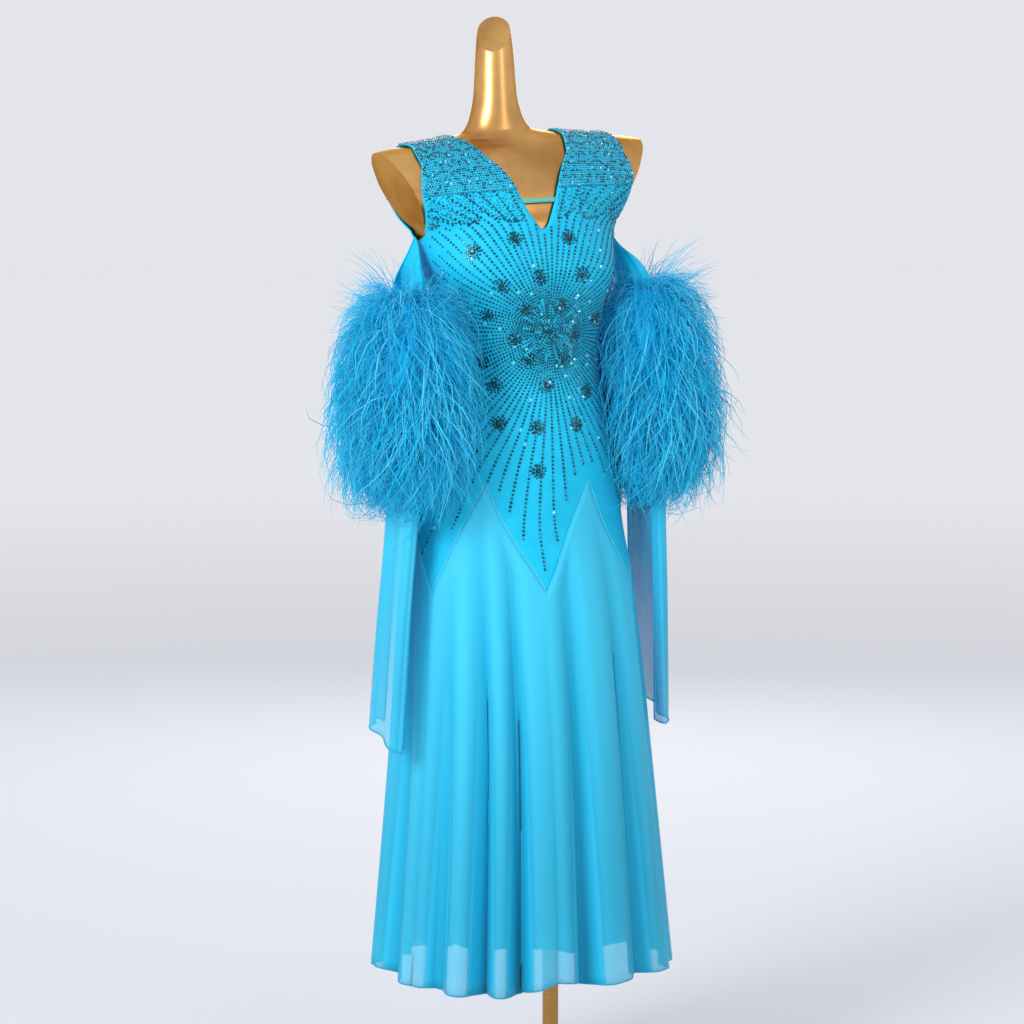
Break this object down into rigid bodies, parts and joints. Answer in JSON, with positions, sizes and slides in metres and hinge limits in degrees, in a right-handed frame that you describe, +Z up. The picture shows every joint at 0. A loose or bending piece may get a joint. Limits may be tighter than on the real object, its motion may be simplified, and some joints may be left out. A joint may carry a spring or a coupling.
{
  "type": "ballroom gown on a dress form",
  "caption": "Standard ballroom gown: stoned bodice, feather cuffs with floats and a godet chiffon skirt, on a limbless form",
  "frame": {"origin": "centre of the underside of the stand's round base, on the pole's axis", "axes": "+Z up along the pole, the gown's front faces -Y, the wearer's left is +X"},
  "size_m": [0.6359, 0.4007, 1.6931],
  "materials": {
    "crepe": "stretch crepe, satin sheen",
    "chiffon": "sheer matt chiffon",
    "lining": "plain opaque cloth",
    "stoned_lace": "lace set with dark teal crystals",
    "feather": "ostrich feather",
    "elastic": "narrow woven elastic",
    "gold": "high-gloss gold lacquer",
    "brass": "polished"
  },
  "bodies": {
    "root": {"bodice_back": "crepe", "bodice_front": "crepe", "feathers_left": "feather", "feathers_right": "feather", "float_left": "chiffon", "float_right": "chiffon", "form_torso": "gold", "lining_gore_1": "lining", "lining_gore_2": "lining", "lining_gore_3": "lining", "lining_gore_4": "lining", "neck_bar": "elastic", "skirt_gore_1": "chiffon", "skirt_gore_2": "chiffon", "skirt_gore_3": "chiffon", "skirt_gore_4": "chiffon", "skirt_gore_5": "chiffon", "skirt_gore_6": "chiffon", "sleeve_left": "crepe", "sleeve_right": "crepe", "stand_base": "brass", "stand_collar": "brass", "stand_pole": "brass", "strap_left": "stoned_lace", "strap_right": "stoned_lace"}
  },
  "joints": []
}
